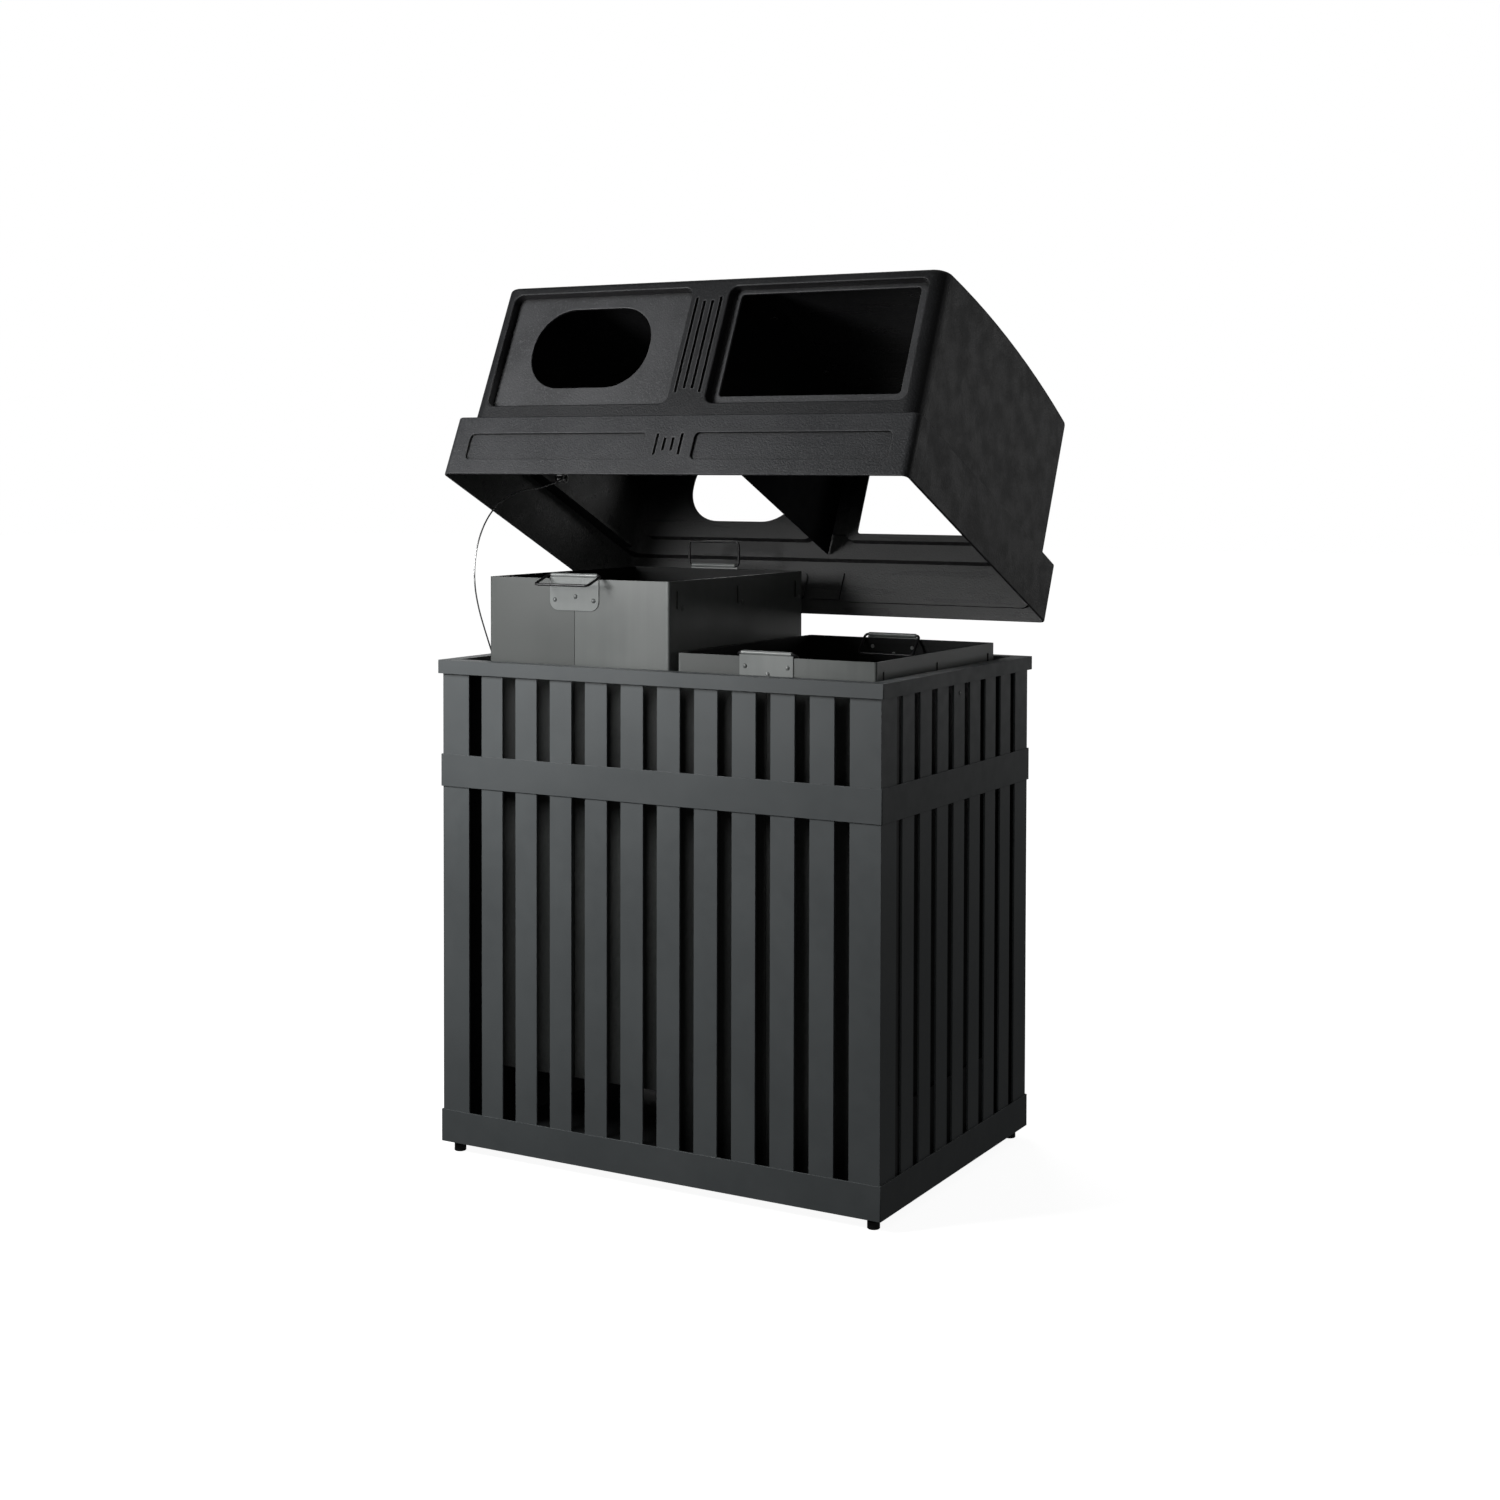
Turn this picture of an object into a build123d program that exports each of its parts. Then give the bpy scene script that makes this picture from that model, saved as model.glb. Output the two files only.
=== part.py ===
from build123d import *
import math
import os

# Two-stream litter bin: slatted steel body, two lift-out steel liners and a moulded hood lid.
# Units are millimetres. +Z is up, the front faces -Y, +X is to the right when facing the front.
# The origin is on the ground, midway across the bin and midway from the rim's front to the
# backmost point of the tipped lid.

# ---- overall sizes -------------------------------------------------------------------------
RIM_WIDTH = 920.0
RIM_DEPTH = 645.0
RIM_TOP = 921.0
FRONT_Y = -405.0
BACK_Y = FRONT_Y + RIM_DEPTH
MID_Y = FRONT_Y + RIM_DEPTH / 2
HALF_WIDTH = RIM_WIDTH / 2

# ---- body frame ----------------------------------------------------------------------------
RIM_HEIGHT = 25.0
RIM_SHEET = 2.5
RIM_FLANGE = 30.0
RIM_LIP = 15.0
BODY_BOTTOM = 20.5
SLAT_INSET = 7.0
SLAT_THICK = 4.0
SIDE_SCREW_Z = 878.0
SLAT_WIDTH = 47.0
POST_LEG = 59.0
BAND_INSET = 4.0
BAND_THICK = 3.0
BAND_HEIGHT = 60.0
MID_BAND_BOTTOM = 686.0
FRONT_SLATS = 10
SIDE_SLATS = 7
CORNER_RADIUS = 2.0
INNER_INSET = SLAT_INSET + SLAT_THICK

# ---- floor pan, rails and feet -------------------------------------------------------------
PAN_BOTTOM = 24.0
PAN_SHEET = 3.0
PAN_TOP = PAN_BOTTOM + PAN_SHEET
PAN_FLANGE_TOP = 60.0
DRAIN_RADIUS = 10.0
ANCHOR_RADIUS = 6.0
ANCHOR_X = 427.0
ANCHOR_Y = 200.0
RAIL_TOP = 170.0
RAIL_SHEET = 3.0
GUIDE_SHEET = 3.0
GUIDE_CLEARANCE = 2.5
GUIDE_SIDE_LEG = 54.0
GUIDE_WEB = 43.0
GUIDE_TOP = 900.0
FOOT_INSET = 29.0
FOOT_RADIUS = 11.0
FOOT_PAD_HEIGHT = 14.0
FOOT_HEX_TOP = 20.0
STUD_RADIUS = 5.0
STUD_TOP = 50.0
STUD_CLEARANCE = 0.05
NUT_ACROSS_FLATS = 17.0
NUT_HEIGHT = 8.0

# ---- liners --------------------------------------------------------------------------------
LINER_WIDTH = 395.0
LINER_DEPTH = 506.0
LINER_HEIGHT = 920.5
LINER_SHEET = 1.5
LINER_CENTRE_X = 206.5
LINER_FRONT_Y = FRONT_Y + 86.0
LINER_BACK_Y = LINER_FRONT_Y + LINER_DEPTH
LINER_SEAT_Z = PAN_TOP + 0.5
LEFT_LINER_LIFT = 126.0
HEM_DEPTH = 12.0
HANDLE_SHIFT = {"left": -6.0, "right": -16.0}
SEAM_WIDTH = 1.2
SEAM_DEPTH = 0.7
RIB_Y = (27.0, 246.0, 474.0)
RIB_WIDTH = 6.0
RIB_PROUD = 2.0
RIB_TOP_DROP = 18.0
RIB_LENGTH = 32.0
SIDE_RIVET_SHIFT = 18.0
SIDE_RIVET_DROP = 49.0

# ---- handle plates and bails ---------------------------------------------------------------
PLATE_WIDTH = 107.0
PLATE_DROP = 58.0
PLATE_SHEET = 1.5
PLATE_CORNER = 18.0
KNUCKLE_HALF = 50.0
KNUCKLE_OUTER = 4.0
BAIL_WIRE = 2.5
BAIL_CLEARANCE = 0.05
BAIL_HALF = 58.0
BAIL_REACH = 48.0
BAIL_BEND = 7.0
AXIS_RISE = 6.5
RIVET_X = (-42.5, 3.0, 42.5)
RIVET_DROP = {"left": (39.0, 32.0, 39.0), "right": (17.0, 30.0, 17.0)}
RIVET_SHANK = 2.4
RIVET_HOLE = 2.45
RIVET_HEAD = 4.5
RIVET_DOME = 2.2
RIVET_TAIL = 3.6
RIVET_TAIL_THICK = 1.2

# ---- lid, in its own frame: y from its front skirt, z from the skirt's lower edge ------------
LID_WIDTH = 964.0
LID_DEPTH = 680.0
LID_WALL = 4.0
SKIRT_HEIGHT = 117.0
LEDGE_SIDE = 14.0
LEDGE_FRONT = 20.0
HOOD_EAVE = 404.0
CROWN = 20.0
SKIRT_CORNER = 14.0
HOOD_CORNER = 30.0
TOP_EDGE = 9.0
LIP_WIDTH = 18.0
LIP_BOTTOM = 112.0
LIP_TOP = 118.0
LIP_END = 60.0
RECESS_DEPTH = 18.0
RECESS_NEAR = 40.0
RECESS_FAR = 438.0
RECESS_BOTTOM = 150.0
RECESS_TOP = 386.0
RECESS_CORNER = 16.0
SLOT_WIDTH = 260.0
SLOT_HEIGHT = 166.0
SLOT_CENTRE = (-248.0, 277.0)
SLOT_CORNER = 78.0
WINDOW_WIDTH = 361.0
WINDOW_HEIGHT = 207.0
WINDOW_CENTRE = (236.5, 274.5)
WINDOW_CORNER = 7.0
BACK_SLOT_CENTRE = (-215.0, 266.0)
BACK_WINDOW_CENTRE = (244.0, 264.0)
GROOVE_X = (-25.5, -8.5, 8.5, 25.5)
GROOVE_WIDTH = 6.0
GROOVE_DEPTH = 4.5
GROOVE_LONG = (171.0, 366.0)
GROOVE_SHORT = (179.0, 359.0)
PANEL_NEAR = 51.0
PANEL_FAR = 439.0
PANEL_BOTTOM = 30.0
PANEL_TOP = 82.0
PANEL_DEPTH = 5.0
PANEL_CORNER = 9.0
SKIRT_GROOVE_LONG = (38.0, 80.0)
SKIRT_GROOVE_SHORT = (46.0, 72.0)
SKIRT_GROOVE_DEPTH = 4.0
RECESS_EDGE = 3.0
OPENING_EDGE = 1.8
PANEL_EDGE = 1.5
LEDGE_EDGE = 3.0
DIVIDER_SHEET = 3.0
DIVIDER_BOTTOM = 119.0
DIVIDER_FLANGE = 60.0
DIVIDER_SCREW_X = 39.0
DIVIDER_SCREW_Y = (100.0, 190.0, 422.0, 560.0)

# ---- where the tipped lid stands -------------------------------------------------------------
TILT = 24.6
LID_Y = FRONT_Y + 42.0
LID_Z = RIM_TOP + 346.0
CLOSED_Y = FRONT_Y - 14.5
CLOSED_Z = RIM_TOP + 0.5 - LIP_BOTTOM

# ---- lanyard ---------------------------------------------------------------------------------
CABLE_RADIUS = 1.5
CABLE_BEND_SHARE = 0.45
EYE_LID = (-441.0, 322.3, 136.5)
EYE_RADIUS = 8.0
EYE_WIRE = 2.0
EYE_POST_SHIFT = (6.3, 4.9)
FERRULE_RADIUS = 3.0
FERRULE_LENGTH = 22.0
CABLE_ROUTE = (
    (-440.0, -44.3, 1249.8),
    (-438.5, -104.0, 1236.5),
    (-436.5, -150.0, 1236.0),
    (-433.0, -200.0, 1228.0),
    (-429.0, -248.0, 1214.0),
    (-425.0, -291.0, 1190.0),
    (-421.0, -325.0, 1155.0),
    (-418.0, -346.0, 1112.0),
    (-417.0, -350.0, 1064.0),
    (-417.0, -338.0, 1018.0),
    (-417.0, -318.0, 975.0),
    (-417.0, -296.0, 932.0),
    (-419.0, -274.0, 892.0),
    (-425.0, -246.0, 860.0),
)

os.makedirs("parts", exist_ok=True)


def save(shape, node):
    export_step(shape, f"parts/{node}.step")


def block(x0, x1, y0, y1, z0, z1):
    centre = ((x0 + x1) / 2, (y0 + y1) / 2, (z0 + z1) / 2)
    return Pos(*centre) * Box(x1 - x0, y1 - y0, z1 - z0)


def upright_edges(shape):
    return shape.edges().filter_by(Axis.Z)


def ring(inset, thick, z0, z1, radius):
    """A rectangular hoop around the body, inset from the rim's outer faces."""
    outer = block(-HALF_WIDTH + inset, HALF_WIDTH - inset, FRONT_Y + inset, BACK_Y - inset, z0, z1)
    outer = fillet(upright_edges(outer), radius)
    gap = inset + thick
    inner = block(-HALF_WIDTH + gap, HALF_WIDTH - gap, FRONT_Y + gap, BACK_Y - gap, z0 - 1, z1 + 1)
    return outer - inner


# ---- body ------------------------------------------------------------------------------------
def rim_frame():
    """A folded channel that caps the slats: outer leg, flat top and a short inner lip."""
    leg = ring(0, RIM_SHEET, RIM_TOP - RIM_HEIGHT, RIM_TOP, CORNER_RADIUS)
    top = ring(0, RIM_FLANGE, RIM_TOP - RIM_SHEET, RIM_TOP, CORNER_RADIUS)
    lip = ring(RIM_FLANGE - RIM_SHEET, RIM_SHEET, RIM_TOP - RIM_LIP, RIM_TOP, 0.5)
    return leg + top + lip


def corner_post(x_side, y_side):
    """An angle post with its outer corner towards (x_side, y_side)."""
    x_out = x_side * (HALF_WIDTH - SLAT_INSET)
    y_out = MID_Y + y_side * (RIM_DEPTH / 2 - SLAT_INSET)
    z_top = RIM_TOP - RIM_SHEET
    xs = sorted((x_out, x_out - x_side * POST_LEG))
    ys = sorted((y_out, y_out - y_side * POST_LEG))
    xw = sorted((x_out, x_out - x_side * SLAT_THICK))
    yw = sorted((y_out, y_out - y_side * SLAT_THICK))
    across = block(*xs, *yw, BODY_BOTTOM, z_top)
    along = block(*xw, *ys, BODY_BOTTOM, z_top)
    return across + along


def slat_positions(span, count):
    """Centres of count slats spread evenly between the two posts' edges, about zero."""
    free = span - 2 * POST_LEG
    gap = (free - count * SLAT_WIDTH) / (count + 1)
    first = -free / 2 + gap + SLAT_WIDTH / 2
    return [first + i * (SLAT_WIDTH + gap) for i in range(count)]


def wide_slat(x, y_side):
    y_out = MID_Y + y_side * (RIM_DEPTH / 2 - SLAT_INSET)
    ys = sorted((y_out, y_out - y_side * SLAT_THICK))
    half = SLAT_WIDTH / 2
    return block(x - half, x + half, *ys, BODY_BOTTOM, RIM_TOP - RIM_SHEET)


def side_slat(y, x_side):
    x_out = x_side * (HALF_WIDTH - SLAT_INSET)
    xs = sorted((x_out, x_out - x_side * SLAT_THICK))
    half = SLAT_WIDTH / 2
    return block(*xs, y - half, y + half, BODY_BOTTOM, RIM_TOP - RIM_SHEET)


def side_screws():
    """One pan head near the top of the middle slat of each side."""
    screws = []
    for side in (-1, 1):
        spot = (side * (HALF_WIDTH - SLAT_INSET), MID_Y, SIDE_SCREW_Z)
        screws.append(Pos(*spot) * Rot(Y=90 * side) * dome_rivet(SLAT_THICK))
    return Compound(children=screws)


def foot_places():
    x = HALF_WIDTH - FOOT_INSET
    return {
        "front_left": (-x, FRONT_Y + FOOT_INSET),
        "front_right": (x, FRONT_Y + FOOT_INSET),
        "back_left": (-x, BACK_Y - FOOT_INSET),
        "back_right": (x, BACK_Y - FOOT_INSET),
    }


def floor_pan():
    edge = INNER_INSET
    sheet = block(-HALF_WIDTH + edge, HALF_WIDTH - edge, FRONT_Y + edge, BACK_Y - edge, PAN_BOTTOM, PAN_TOP)
    flange = ring(edge, PAN_SHEET, PAN_BOTTOM, PAN_FLANGE_TOP, 0.5)
    pan = sheet + flange
    height = 4 * PAN_SHEET
    for x, y in foot_places().values():
        pan -= Pos(x, y, PAN_BOTTOM) * Cylinder(STUD_RADIUS + 0.5, height)
    for x in (-ANCHOR_X, ANCHOR_X):
        for y in (-ANCHOR_Y, ANCHOR_Y):
            pan -= Pos(x, MID_Y + y, PAN_BOTTOM) * Cylinder(ANCHOR_RADIUS, height)
    for x in (-LINER_CENTRE_X, LINER_CENTRE_X):
        for y in (-ANCHOR_Y, ANCHOR_Y):
            pan -= Pos(x, MID_Y + y, PAN_BOTTOM) * Cylinder(DRAIN_RADIUS, height)
    return pan


def liner_rails():
    """Two side angles and a centre bar that locate the liners on the floor pan."""
    near = LINER_FRONT_Y + 20
    far = LINER_BACK_Y - 20
    inner = LINER_CENTRE_X - LINER_WIDTH / 2
    outer = LINER_CENTRE_X + LINER_WIDTH / 2 + 4
    rails = [block(-inner + 3, inner - 3, near, far, PAN_TOP, RAIL_TOP)]
    for side in (-1, 1):
        web = sorted((side * outer, side * (outer + RAIL_SHEET)))
        foot = sorted((side * outer, side * (outer + 9)))
        angle = block(*web, near, far, PAN_TOP, RAIL_TOP)
        angle += block(*foot, near, far, PAN_TOP, PAN_TOP + RAIL_SHEET)
        rails.append(angle)
    return Compound(children=rails)


def liner_guides():
    """Upright angles inside the four corners that steer the liners as they are lowered."""
    guides = []
    for y_side, wall in ((-1, LINER_FRONT_Y), (1, LINER_BACK_Y)):
        near = wall + y_side * GUIDE_CLEARANCE
        web_y = sorted((near, near + y_side * GUIDE_SHEET))
        leg_y = sorted((near, near + y_side * min(GUIDE_SIDE_LEG, abs(corner_room(near, y_side)))))
        for x_side in (-1, 1):
            face = x_side * (HALF_WIDTH - INNER_INSET)
            web_x = sorted((face, face - x_side * GUIDE_WEB))
            leg_x = sorted((face, face - x_side * GUIDE_SHEET))
            web = block(*web_x, *web_y, PAN_FLANGE_TOP, GUIDE_TOP)
            leg = block(*leg_x, *leg_y, PAN_FLANGE_TOP, GUIDE_TOP)
            guides.append(web + leg)
    return Compound(children=guides)


def corner_room(y, y_side):
    """Distance from y to the inner face of the front or back slats."""
    return MID_Y + y_side * (RIM_DEPTH / 2 - INNER_INSET) - y


def hexagon_bar(height):
    return extrude(RegularPolygon(NUT_ACROSS_FLATS / 2, 6, major_radius=False), height)


def foot_nuts():
    nuts = []
    for x, y in foot_places().values():
        nut = hexagon_bar(NUT_HEIGHT) - Cylinder(STUD_RADIUS + STUD_CLEARANCE, 4 * NUT_HEIGHT)
        nuts.append(Pos(x, y, PAN_TOP) * nut)
    return Compound(children=nuts)


def levelling_foot(x, y):
    pad = Pos(0, 0, FOOT_PAD_HEIGHT / 2) * Cylinder(FOOT_RADIUS, FOOT_PAD_HEIGHT)
    pad = chamfer(pad.edges().filter_by(GeomType.CIRCLE), 1.0)
    neck = Pos(0, 0, FOOT_PAD_HEIGHT) * hexagon_bar(FOOT_HEX_TOP - FOOT_PAD_HEIGHT)
    stud_length = STUD_TOP - FOOT_HEX_TOP
    stud = Pos(0, 0, FOOT_HEX_TOP + stud_length / 2) * Cylinder(STUD_RADIUS, stud_length)
    return Pos(x, y, 0) * (pad + neck + stud)


# ---- liners ----------------------------------------------------------------------------------
def rivet_bores(drops, length):
    """Drills for a handle plate's rivets, along Y, about the plate's centre at the wall's top."""
    drills = []
    for x, drop in zip(RIVET_X, drops):
        drills.append(Pos(x, 0, -drop) * Rot(X=90) * Cylinder(RIVET_HOLE, length))
    return drills


def side_rivet_spots():
    return [(LINER_FRONT_Y + y + SIDE_RIVET_SHIFT, -SIDE_RIVET_DROP) for y in RIB_Y]


def liner(x, z, plate_x, drops):
    """An open-topped folded box standing with its underside at z, bored for its handle plates."""
    half = LINER_WIDTH / 2
    top = z + LINER_HEIGHT
    body = block(x - half, x + half, LINER_FRONT_Y, LINER_BACK_Y, z, top)
    body = fillet(upright_edges(body), 5.0)
    wall = LINER_SHEET
    ys = (LINER_FRONT_Y + wall, LINER_BACK_Y - wall)
    hollow = block(x - half + wall, x + half - wall, *ys, z + wall, top - HEM_DEPTH)
    hollow = fillet(upright_edges(hollow), 5.0 - wall)
    hem = 2 * wall
    mouth = block(x - half + hem, x + half - hem, LINER_FRONT_Y + hem, LINER_BACK_Y - hem, z + wall, top + 1)
    mouth = fillet(upright_edges(mouth), 5.0 - hem)
    body -= hollow
    body -= mouth
    for y, side in ((LINER_FRONT_Y, 1), (LINER_BACK_Y, -1)):
        seam = sorted((y - side, y + side * SEAM_DEPTH))
        body -= block(plate_x - SEAM_WIDTH / 2, plate_x + SEAM_WIDTH / 2, *seam, z - 1, top - PLATE_DROP)
        for drill in rivet_bores(drops, 8.0):
            body -= Pos(plate_x, y, top) * drill
    for side in (-1, 1):
        face = x + side * half
        xs = sorted((face - side * wall / 2, face + side * RIB_PROUD))
        for y in RIB_Y:
            y0 = LINER_FRONT_Y + y
            rib = block(*xs, y0, y0 + RIB_WIDTH, top - RIB_TOP_DROP - RIB_LENGTH, top - RIB_TOP_DROP)
            body += rib
        for y, drop in side_rivet_spots():
            body -= Pos(face, y, top + drop) * Rot(Y=90) * Cylinder(RIVET_HOLE, 8.0)
    return body


def handle_plate(y_side, drops):
    """A riveted plate rolled into a knuckle, about its centre at the wall's top, facing y_side."""
    outer = sorted((0, y_side * PLATE_SHEET))
    leg_top = AXIS_RISE - KNUCKLE_OUTER + 0.8
    leg = block(-PLATE_WIDTH / 2, PLATE_WIDTH / 2, *outer, -PLATE_DROP, leg_top)
    lower = leg.edges().filter_by(Axis.Y).group_by(Axis.Z)[0]
    leg = fillet(lower, PLATE_CORNER)
    along_x = Pos(0, -y_side * LINER_SHEET / 2, AXIS_RISE) * Rot(Y=90)
    knuckle = along_x * Cylinder(KNUCKLE_OUTER, 2 * KNUCKLE_HALF)
    plate = leg + knuckle
    plate -= along_x * Cylinder(BAIL_WIRE + BAIL_CLEARANCE, PLATE_WIDTH + 10)
    for drill in rivet_bores(drops, 8.0):
        plate -= drill
    return plate


def dome_rivet(grip):
    """A rivet along +Z: shank of length grip below z = 0, dome above, flat tail beneath."""
    shank = Pos(0, 0, -grip / 2) * Cylinder(RIVET_SHANK, grip)
    ball = (RIVET_HEAD**2 + RIVET_DOME**2) / (2 * RIVET_DOME)
    cap = Pos(0, 0, RIVET_DOME - ball) * Sphere(ball)
    cap &= Pos(0, 0, ball) * Box(4 * ball, 4 * ball, 2 * ball)
    tail = Pos(0, 0, -grip - RIVET_TAIL_THICK / 2) * Cylinder(RIVET_TAIL, RIVET_TAIL_THICK)
    return shank + cap + tail


def plate_rivets(x, top, drops):
    rivets = []
    for y, side in ((LINER_FRONT_Y, -1), (LINER_BACK_Y, 1)):
        for dx, drop in zip(RIVET_X, drops):
            turn = Rot(X=-90 * side)
            rivet = turn * dome_rivet(PLATE_SHEET + LINER_SHEET)
            rivets.append(Pos(x + dx, y + side * PLATE_SHEET, top - drop) * rivet)
    return Compound(children=rivets)


def side_rivets(x, top):
    rivets = []
    for side in (-1, 1):
        for y, drop in side_rivet_spots():
            rivet = Rot(Y=90 * side) * dome_rivet(LINER_SHEET)
            rivets.append(Pos(x + side * LINER_WIDTH / 2, y, top + drop) * rivet)
    return Compound(children=rivets)


def bail():
    """A closed wire loop about its pivot bar, standing upright."""
    points = [(-BAIL_HALF, 0), (BAIL_HALF, 0), (BAIL_HALF, BAIL_REACH), (-BAIL_HALF, BAIL_REACH)]
    path = Plane.XZ * FilletPolyline(*points, radius=BAIL_BEND, close=True)
    start = path @ 0
    tangent = path % 0
    section = Plane(origin=start, z_dir=tangent) * Circle(BAIL_WIRE)
    return sweep(section, path=path)


def bail_axis(wall_y, y_side, top):
    return (wall_y - y_side * LINER_SHEET / 2, top + AXIS_RISE)


# ---- lid -------------------------------------------------------------------------------------
def hood_block(half_width, y_front, z_eave, z_low, corner):
    """A crowned box, from z_low up to an arched roof that springs from z_eave."""
    y_back = LID_DEPTH - y_front
    crest = (LID_DEPTH / 2, z_eave + CROWN)
    with BuildPart() as hood:
        with BuildSketch(Plane.YZ.offset(-half_width)):
            with BuildLine():
                ThreePointArc((y_front, z_eave), crest, (y_back, z_eave))
                Polyline((y_back, z_eave), (y_back, z_low), (y_front, z_low), (y_front, z_eave))
            make_face()
        extrude(amount=2 * half_width)
    return fillet(upright_edges(hood.part), corner)


def rounded_prism(x0, x1, z0, z1, corner, y0, y1):
    """A prism along Y with a rounded rectangular outline."""
    outline = Pos((x0 + x1) / 2, (z0 + z1) / 2) * RectangleRounded(x1 - x0, z1 - z0, corner)
    face = Plane(origin=(0, y0, 0), x_dir=(1, 0, 0), z_dir=(0, -1, 0)) * outline
    return extrude(face, -(y1 - y0))


def mirror_back(y0, y1):
    """The same stretch of y measured from the lid's back instead of its front."""
    return (LID_DEPTH - y1, LID_DEPTH - y0)


def both_walls(y0, y1):
    return ((y0, y1), mirror_back(y0, y1))


def lid_hood():
    half = LID_WIDTH / 2
    wall = LID_WALL
    skirt = block(-half, half, 0, LID_DEPTH, 0, SKIRT_HEIGHT)
    skirt = fillet(upright_edges(skirt), SKIRT_CORNER)
    skirt = fillet(skirt.faces().sort_by(Axis.Z)[-1].edges(), 3.0)
    hood_half = half - LEDGE_SIDE
    hood = hood_block(hood_half, LEDGE_FRONT, HOOD_EAVE, SKIRT_HEIGHT - 10, HOOD_CORNER)
    roof = hood.faces().sort_by(Axis.Z)[-1]
    hood = fillet(roof.edges(), TOP_EDGE)
    shell = skirt + hood
    void = block(-half + wall, half - wall, wall, LID_DEPTH - wall, -1, LIP_BOTTOM)
    void = fillet(upright_edges(void), SKIRT_CORNER - wall)
    inner = hood_block(hood_half - wall, LEDGE_FRONT + wall, HOOD_EAVE - wall, LIP_BOTTOM - 1, HOOD_CORNER - wall)
    shell = shell - void - inner
    lip_far = hood_half - wall
    for side in (-1, 1):
        xs = sorted((side * (lip_far + 1), side * (lip_far - LIP_WIDTH)))
        shell += block(*xs, LIP_END, LID_DEPTH - LIP_END, LIP_BOTTOM, LIP_TOP)
    face = LEDGE_FRONT
    deep = RECESS_DEPTH
    for side in (-1, 1):
        near = side * RECESS_NEAR
        far = side * RECESS_FAR
        xs = sorted((near, far))
        for ys in both_walls(face + wall - 1, face + deep + wall):
            shell += rounded_prism(xs[0] - wall, xs[1] + wall, RECESS_BOTTOM - wall, RECESS_TOP + wall,
                                   RECESS_CORNER + wall, *ys)
        for ys in both_walls(face - 1, face + deep):
            shell -= rounded_prism(*xs, RECESS_BOTTOM, RECESS_TOP, RECESS_CORNER, *ys)
    for is_back, ys in enumerate(both_walls(face, face + deep + 2 * wall)):
        for outline in wall_openings(is_back):
            shell -= opening(*outline, ys)
    for ys in both_walls(face + wall - 1, face + 2 * wall):
        shell += block(-34, 34, *ys, GROOVE_LONG[0] - 8, GROOVE_LONG[1] + 8)
    shell = cut_grooves(shell, face, GROOVE_DEPTH, GROOVE_LONG, GROOVE_SHORT)
    for side in (-1, 1):
        xs = sorted((side * PANEL_NEAR, side * PANEL_FAR))
        for ys in both_walls(wall - 1, wall + PANEL_DEPTH):
            shell += rounded_prism(xs[0] - wall, xs[1] + wall, PANEL_BOTTOM - wall, PANEL_TOP + wall,
                                   PANEL_CORNER + wall, *ys)
        for ys in both_walls(-1, PANEL_DEPTH):
            shell -= rounded_prism(*xs, PANEL_BOTTOM, PANEL_TOP, PANEL_CORNER, *ys)
    for ys in both_walls(wall - 1, 2 * wall):
        shell += block(-34, 34, *ys, SKIRT_GROOVE_LONG[0] - 8, SKIRT_GROOVE_LONG[1] + 8)
    shell = cut_grooves(shell, 0, SKIRT_GROOVE_DEPTH, SKIRT_GROOVE_LONG, SKIRT_GROOVE_SHORT)
    return soften_edges(shell)


def level_edges(shape, y, x_near, x_far, z0, z1):
    """Edges lying wholly in the plane at y, between x_near and x_far of the centre and z0 and z1."""
    found = []
    for edge in shape.edges():
        box = edge.bounding_box()
        level = abs(box.min.Y - y) < 0.01 and abs(box.max.Y - y) < 0.01
        reach = max(abs(box.min.X), abs(box.max.X))
        if level and x_near < reach < x_far and z0 < box.min.Z and box.max.Z < z1:
            found.append(edge)
    return found


def wall_openings(is_back):
    """Centre, width, height and corner radius of each opening in the front or the back wall."""
    slot = BACK_SLOT_CENTRE if is_back else SLOT_CENTRE
    window = BACK_WINDOW_CENTRE if is_back else WINDOW_CENTRE
    return (
        (slot, SLOT_WIDTH, SLOT_HEIGHT, SLOT_CORNER),
        (window, WINDOW_WIDTH, WINDOW_HEIGHT, WINDOW_CORNER),
    )


def opening_edges(shape, y, is_back):
    """Edges of the two openings where they meet the recess floor at y."""
    found = []
    for edge in level_edges(shape, y, 0, RECESS_FAR, RECESS_BOTTOM, RECESS_TOP):
        middle = edge.center()
        for (x, z), width, height, corner in wall_openings(is_back):
            if abs(middle.X - x) < width / 2 + 1 and abs(middle.Z - z) < height / 2 + 1:
                found.append(edge)
    return found


def soften_edges(shell):
    """Round the moulding's corners: recesses, openings, panels, skirt foot and ledge."""
    centre = max(GROOVE_X) + 2 * GROOVE_WIDTH
    levels = ((LEDGE_FRONT, 1), (LID_DEPTH - LEDGE_FRONT, -1))
    for is_back, (y, inward) in enumerate(levels):
        rims = level_edges(shell, y, centre, RECESS_FAR + 1, RECESS_BOTTOM - 1, RECESS_TOP + 1)
        shell = fillet(rims, RECESS_EDGE)
        shell = fillet(opening_edges(shell, y + inward * RECESS_DEPTH, is_back), OPENING_EDGE)
    for y in (0, LID_DEPTH):
        rims = level_edges(shell, y, centre, PANEL_FAR + 1, PANEL_BOTTOM - 1, PANEL_TOP + 1)
        shell = fillet(rims, PANEL_EDGE)
    foot = shell.edges().filter_by(lambda e: e.bounding_box().max.Z < 0.01)
    shell = fillet([edge for edge in foot if on_skirt_face(edge)], PANEL_EDGE)
    ledge = shell.edges().filter_by(lambda e: on_level(e, SKIRT_HEIGHT) and not on_skirt_face(e, LEDGE_SIDE - 1))
    return fillet(ledge, LEDGE_EDGE)


def on_level(edge, z):
    box = edge.bounding_box()
    return abs(box.min.Z - z) < 0.01 and abs(box.max.Z - z) < 0.01


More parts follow.
